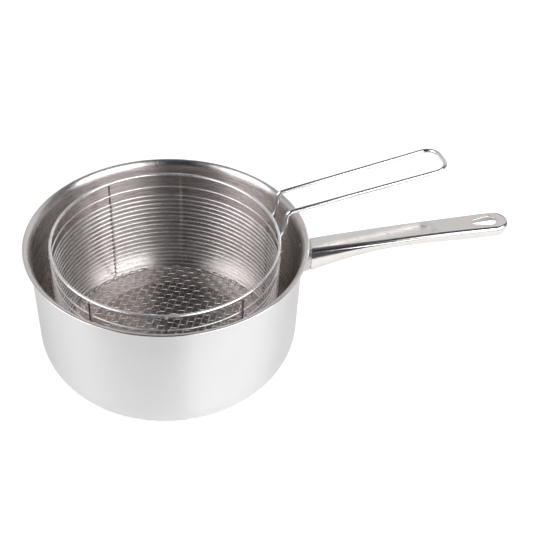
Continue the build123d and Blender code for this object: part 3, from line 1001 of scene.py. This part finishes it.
def makeUprights(size, rod):
    # A straight rod outside the rings. At each ring it swells by a bell and leans in, over the welding gap.
    middle = size["radius"] + size["wireGap"] + size["uprightWire"] / 2
    bottom = heights["bottomZ"] + rod["footRise"]
    for number, azimuth in enumerate(size["azimuths"], start=1):
        isShort = azimuth == size["shortAzimuth"]
        top = (heights["sideZ"][0] if isShort else heights["topZ"]) + rod["tip"]
        topWeld = [] if isShort else [heights["topZ"] - rod["topWeldDrop"]]
        rings = np.append(heights["sideZ"], topWeld)
        z = np.concatenate([
            (rings[:, None] + rod["cluster"]).ravel(), heights["sideZ"] - rod["betweenDrop"], [bottom, top],
        ])
        z = np.unique(np.round(np.clip(z, bottom, top), 3))
        mark = nearness(z[:, None] - rings, rod["weldWidth"]).max(axis=1)
        # Both tips are rounded: sqrt(1 - share^2), where the share runs from 0 to 1 over the round length
        intoTip = np.abs(z - (bottom + top) / 2) - (top - bottom) / 2 + rod["roundLength"]
        share = intoTip.clip(0) / rod["roundLength"]
        rounding = np.sqrt(np.maximum(1 - share**2, rod["leastShare"]))
        thick = size["uprightWire"] / 2 * (1 + rod["swell"] * mark) * rounding
        lean = middle - rod["lean"] * mark
        out, side, up = frameAt(azimuth)
        centre = lean[:, None] * out + z[:, None] * up
        points = tubePoints(centre, out, side, thick, rod["sides"]) + basketCentre
        name, node = f"upright{number:02d}", f"upright_{number:02d}"
        faces, marks = tubeFaces(len(z), rod["sides"]), np.repeat(mark, rod["sides"])
        # The rods' finish is painted darker than the rings' wire, as painted shade
        makePiece(name, points, faces, "basket", "rodWire", [node], marks=marks)


makeRings(basket)
makeUprights(basket, upright)
print("basket rings and uprights ready")

net = {
    "sides": 6, "stepsPerPitch": 6, "foldSteps": 11, "foldStart": 90.0, "foldStop": -130.0, "foldLimit": 0.42,
    "ease": 3.4, "edgeMargin": 2.0, "shortEnd": 0.6, "foldShadeWidth": 1.5,
}


def wovenWires(size, look, phase):
    # Wires side by side at the pitch. Each one waves over and under the crossing ones, z = half a wire *
    # cos(pi * s / pitch), and its ends go round the bottom ring in an ellipse, a circle seen square to the
    # ring.
    wire, pitch = size["netWire"], size["netPitch"]
    edgeRadius, ringZ = heights["bottomRadius"], heights["bottomZ"]
    fold = size["bottomWire"] / 2 + wire / 2
    netZ = ringZ + size["bottomWire"] / 2 + 2 * size["wireGap"] + wire
    reach = int(edgeRadius / pitch)
    shift = np.arange(-reach, reach + 1) * pitch
    shift = shift[np.abs(shift) < edgeRadius - look["edgeMargin"]]
    isEven = np.round(shift / pitch).astype(int) % 2 == 0
    half = np.sqrt(edgeRadius**2 - shift**2)
    square = half / edgeRadius
    folds = (square > look["foldLimit"])[:, None]
    ends = half[:, None] - np.where(folds, 0.0, look["shortEnd"])
    delta = pitch / look["stepsPerPitch"]
    s = np.arange(-int(edgeRadius / delta), int(edgeRadius / delta) + 1) * delta
    s = np.clip(np.broadcast_to(s, (len(shift), len(s))), -ends, ends)
    wave = wire / 2 * np.cos(np.pi * s / pitch) * np.where(isEven, 1, -1)[:, None] * phase
    toEdge = np.clip((ends - np.abs(s)) / look["ease"], 0, 1)
    calm = toEdge**2 * (3 - 2 * toEdge)
    flatZ = ringZ + fold
    z = np.where(folds, flatZ + (netZ + wave - flatZ) * calm, netZ + wave * calm)
    # Folded ends, as wide as the wire's slant to the ring needs
    turn = np.radians(np.linspace(look["foldStart"], look["foldStop"], look["foldSteps"]))[1:]
    wide = fold / np.maximum(square, look["foldLimit"])
    foldS = half[:, None] + wide[:, None] * np.cos(turn)
    foldZ = np.broadcast_to(ringZ + fold * np.sin(turn), foldS.shape)
    foldS = np.where(folds, foldS, ends)
    foldZ = np.where(folds, foldZ, z[:, -1:])
    s = np.concatenate([-foldS[:, ::-1], s, foldS], axis=1)
    z = np.concatenate([foldZ[:, ::-1], z, foldZ], axis=1)
    return shift, s, z


def wireTubes(s, z, shift, along, across, radius, sides):
    # Each row (s, z) becomes a round wire in its own upright plane. Repeated places are left out, and both
    # ends are capped.
    count, stations = s.shape
    flat = np.stack([s, z], axis=-1)
    moved = np.linalg.norm(np.diff(flat, axis=1), axis=2) > samePlace
    tangent = np.gradient(flat, axis=1)
    size = np.linalg.norm(tangent, axis=2, keepdims=True)
    tangent = np.where(size > samePlace, tangent / np.maximum(size, tiny), [1.0, 0.0])
    normal = np.stack([-tangent[..., 1], tangent[..., 0]], axis=-1)
    turn = roundTurn(sides)
    inPlane = flat[:, :, None, :] + radius * np.cos(turn)[:, None] * normal[:, :, None, :]
    acrossBy = np.broadcast_to(shift[:, None, None] + radius * np.sin(turn), inPlane.shape[:3])
    points = inPlane[..., :1] * along + acrossBy[..., None] * across
    points[..., 2:] += inPlane[..., 1:]
    ring = np.arange(count * stations * sides).reshape(count, stations, sides)
    nextRing = np.roll(ring, -1, axis=2)
    cells = np.stack([ring[:, :-1], nextRing[:, :-1], nextRing[:, 1:], ring[:, 1:]], axis=-1)
    # A station that repeats the one before it is replaced by it
    repeats = np.concatenate([np.zeros((count, 1), bool), ~moved], axis=1)
    stands = np.maximum.accumulate(np.where(repeats, 0, np.arange(stations)), axis=1)
    remap = np.take_along_axis(ring, stands[:, :, None].repeat(sides, axis=2), axis=1).ravel()
    quads = remap[cells[moved].reshape(-1, 4)]
    caps = np.concatenate([remap[ring[:, 0]][:, ::-1], remap[ring[:, -1]]])
    used, back = np.unique(np.concatenate([quads.ravel(), caps.ravel()]), return_inverse=True)
    faces = [back[: quads.size].reshape(-1, 4), back[quads.size:].reshape(-1, sides)]
    return points.reshape(-1, 3)[used], faces


def makeNet(size, look):
    # Two layers of wires at a right angle that wave in opposite phase
    turn = np.radians(size["netTurn"])
    lengthwise = np.array([np.cos(turn), np.sin(turn), 0.0])
    crosswise = np.array([-np.sin(turn), np.cos(turn), 0.0])
    for name, along, across, phase, replaced in (
        ("netWarp", lengthwise, crosswise, 1, ["basket_mesh"]),
        ("netWeft", crosswise, lengthwise, -1, []),
    ):
        shift, s, z = wovenWires(size, look, phase)
        points, faces = wireTubes(s, z, shift, along, across, size["netWire"] / 2, look["sides"])
        # The folded ends are rougher, and painted darker as painted shade where they wrap round the bottom
        # ring
        intoFold = np.hypot(points[:, 0], points[:, 1]) - heights["bottomRadius"] + look["foldShadeWidth"]
        marks = np.clip(intoFold / look["foldShadeWidth"], 0, 1)
        points = points + basketCentre
        makePiece(name, points, faces, "basket", "netWire", replaced, marks=marks)


makeNet(basket, net)
print("basket floor ready")

grip = {
    "wire": 4.2, "azimuth": 99.5, "footDrop": 5.5, "footHalf": 15.6, "endHalf": 17.9,
    "bendReach": 4.25, "bendRise": 21.0, "endReach": 156.7, "endRise": 50.6,
    "bendRadius": 6.0, "loopRadius": 13.5, "dullLength": 6.0,
    "sides": 20, "step": 1.0, "leastSteps": 6, "sharp": 50,
}


def roundedPath(corners, radii, step, leastSteps):
    # Straight runs joined by arcs: each arc touches both runs at radius * tan(half the turn) from the corner
    path = [corners[0][None]]
    for before, corner, after, radius in zip(corners[:-2], corners[1:-1], corners[2:], radii):
        inward, outward = unit(before - corner), unit(after - corner)
        halfTurn = (np.pi - np.arccos(np.clip(inward @ outward, -1, 1))) / 2
        back = radius * np.tan(halfTurn)
        centre = corner + unit(inward + outward) * radius / np.cos(halfTurn)
        start, stop = corner + inward * back - centre, corner + outward * back - centre
        whole = 2 * halfTurn
        t = np.linspace(0, 1, max(int(whole * radius / step), leastSteps) + 1)[:, None]
        path.append(centre + (np.sin((1 - t) * whole) * start + np.sin(t * whole) * stop) / np.sin(whole))
    path.append(corners[-1][None])
    return np.concatenate(path)


def makeGrip(size):
    # The loop is the same on both sides of its middle, so its far half is the near half in reverse
    footRadius = basket["radius"] + basket["wireGap"] + size["wire"] / 2
    footAlong = np.sqrt(footRadius**2 - size["footHalf"] ** 2)
    near = [
        (footAlong, -size["footHalf"], heights["topZ"] - size["footDrop"]),
        (footAlong, -size["footHalf"], heights["topZ"]),
        (basket["radius"] + size["bendReach"], -size["footHalf"], pot["height"] + size["bendRise"]),
        (basket["radius"] + size["endReach"], -size["endHalf"], pot["height"] + size["endRise"]),
    ]
    far = [(along, -across, height) for along, across, height in near[::-1]]
    out, sideways, upward = frameAt(size["azimuth"])
    corners = np.array(near + far) @ np.stack([out, sideways, upward])
    radii = [size["bendRadius"], size["bendRadius"], size["loopRadius"]]
    path = roundedPath(corners, radii + radii[::-1], size["step"], size["leastSteps"])
    tangent = unit(np.gradient(path, axis=0))
    # One slanting reference that no stretch of the path runs along gives the frames
    side = unit(np.cross(tangent, (sideways + upward) / np.sqrt(2)))
    points = tubePoints(path, side, np.cross(side, tangent), size["wire"] / 2, size["sides"]) + basketCentre
    faces = tubeFaces(len(path), size["sides"])
    length = runLength(path)
    fromEnd = np.minimum(length, length[-1] - length)
    marks = np.repeat(np.clip(1 - fromEnd / size["dullLength"], 0, 1), size["sides"])
    makePiece(
        "basketGrip", points, faces, "basket", "gripWire",
        ["basket_handle"], marks=marks, sharp=size["sharp"],
    )


makeGrip(grip)
print("basket handle ready")


# Weld beads: small uneven lumps where wires and sheets are joined. A size is its depth, width and tallness.

beads = {
    "rows": 10, "columns": 14, "roughness": 0.12, "phases": (0, 6.28, 4),
    # Waves of the first kind round the lump, of the second kind round it and up it, and the second's share
    "waves": (3, 2, 4), "waveShare": 0.6,
    "seeds": {"uprightWelds": 3, "gripWelds": 5, "bracketWelds": 7, "innerWeld": 9, "innerShade": 9},
    "uprightSize": (0.9, 1.5, 1.5), "uprightOut": 0.1,
    # Each foot of the wire handle: how far below the top ring's middle, and its size
    "gripOut": 0.2, "grip": ((0.2, (1.3, 2.1, 1.4)), (2.2, (1.3, 1.7, 1.4))),
    # Round the bracket: how far across, and how far below the handle's top
    "bracketAzimuth": 90.0, "bracketSize": (1.1, 1.2, 1.5), "bracketOut": 0.5,
    "bracket": ((-9.9, 5.2), (-10.5, 9.5), (9.9, 5.2), (10.5, 9.5), (-5.0, 0.2), (5.0, 0.2)),
    # What the bracket's weld left on the pot's inner wall: height and size of a bead. Below it, height and
    # size of a dark lump that is painted shade under the bead
    "innerWeld": (121.4, (0.55, 1.3, 2.3), "weld"), "innerShade": (115.6, (0.25, 1.2, 3.6), "burn"),
}


def weldSpot(azimuth, out, across, height, size, centre=0.0):
    # A lump's place, out * outward + across * sideways + height * upward + centre, with its size and its axes
    axes = frameAt(azimuth)
    return axes[0] * out + axes[1] * across + axes[2] * height + centre, size, axes


def makeLumps(name, spots, body, finish="weld"):
    # Ellipsoids: place + outward * a cos(v) cos(u) + sideways * b cos(v) sin(u) + upward * c sin(v), and two
    # waves of unevenness
    draw = np.random.default_rng(beads["seeds"][name])
    rows, columns = beads["rows"], beads["columns"]
    first, second, upwards = beads["waves"]
    v, u = np.meshgrid(np.linspace(-np.pi / 2, np.pi / 2, rows), roundTurn(columns), indexing="ij")
    quads = gridQuads(rows, columns, closeColumns=True)
    allPoints = []
    for place, (depth, width, tallness), (out, side, up) in spots:
        phase = draw.uniform(*beads["phases"])
        waves = np.sin(first * u + phase[0]) * np.cos(v)
        waves = waves + beads["waveShare"] * np.sin(second * u + upwards * v + phase[1])
        flat = (1 + beads["roughness"] * waves * np.cos(v)) * np.cos(v)
        points = (
            place
            + (depth * flat * np.cos(u))[..., None] * out
            + (width * flat * np.sin(u))[..., None] * side
            + (tallness * np.sin(v))[..., None] * up
        )
        allPoints.append(points.reshape(-1, 3))
    allQuads = np.concatenate([quads + number * rows * columns for number in range(len(spots))])
    points, faces, _ = joinPoints(np.concatenate(allPoints), [allQuads])
    makePiece(name, points, faces, body, finish)


def makeWelds(look):
    ring, ringZ = basket["radius"], heights["topZ"]
    out, z = ring + look["uprightOut"], ringZ - basket["topWire"] / 2
    spots = [weldSpot(azimuth, out, 0.0, z, look["uprightSize"], basketCentre) for azimuth in tallAzimuths]
    makeLumps("uprightWelds", spots, "basket")

    footAngle = np.degrees(np.arcsin(grip["footHalf"] / (ring + basket["wireGap"] + grip["wire"] / 2)))
    out = ring + look["gripOut"]
    spots = [
        weldSpot(azimuth, out, 0.0, ringZ - lower, size, basketCentre)
        for azimuth in (grip["azimuth"] - footAngle, grip["azimuth"] + footAngle)
        for lower, size in look["grip"]
    ]
    makeLumps("gripWelds", spots, "basket")

    azimuth, out = look["bracketAzimuth"], pot["radius"] + look["bracketOut"]
    top = handleTop(handle, pot["radius"])
    spots = [
        weldSpot(azimuth, out, across, top - lower, look["bracketSize"]) for across, lower in look["bracket"]
    ]
    makeLumps("bracketWelds", spots, "pot")

    # The second lump is painted shade: a dark lump under the weld bead
    for name in ("innerWeld", "innerShade"):
        height, size, finish = look[name]
        spots = [weldSpot(azimuth, pot["radius"] - pot["wall"], 0.0, height, size)]
        makeLumps(name, spots, "pot", finish)


makeWelds(beads)
print("welds ready")
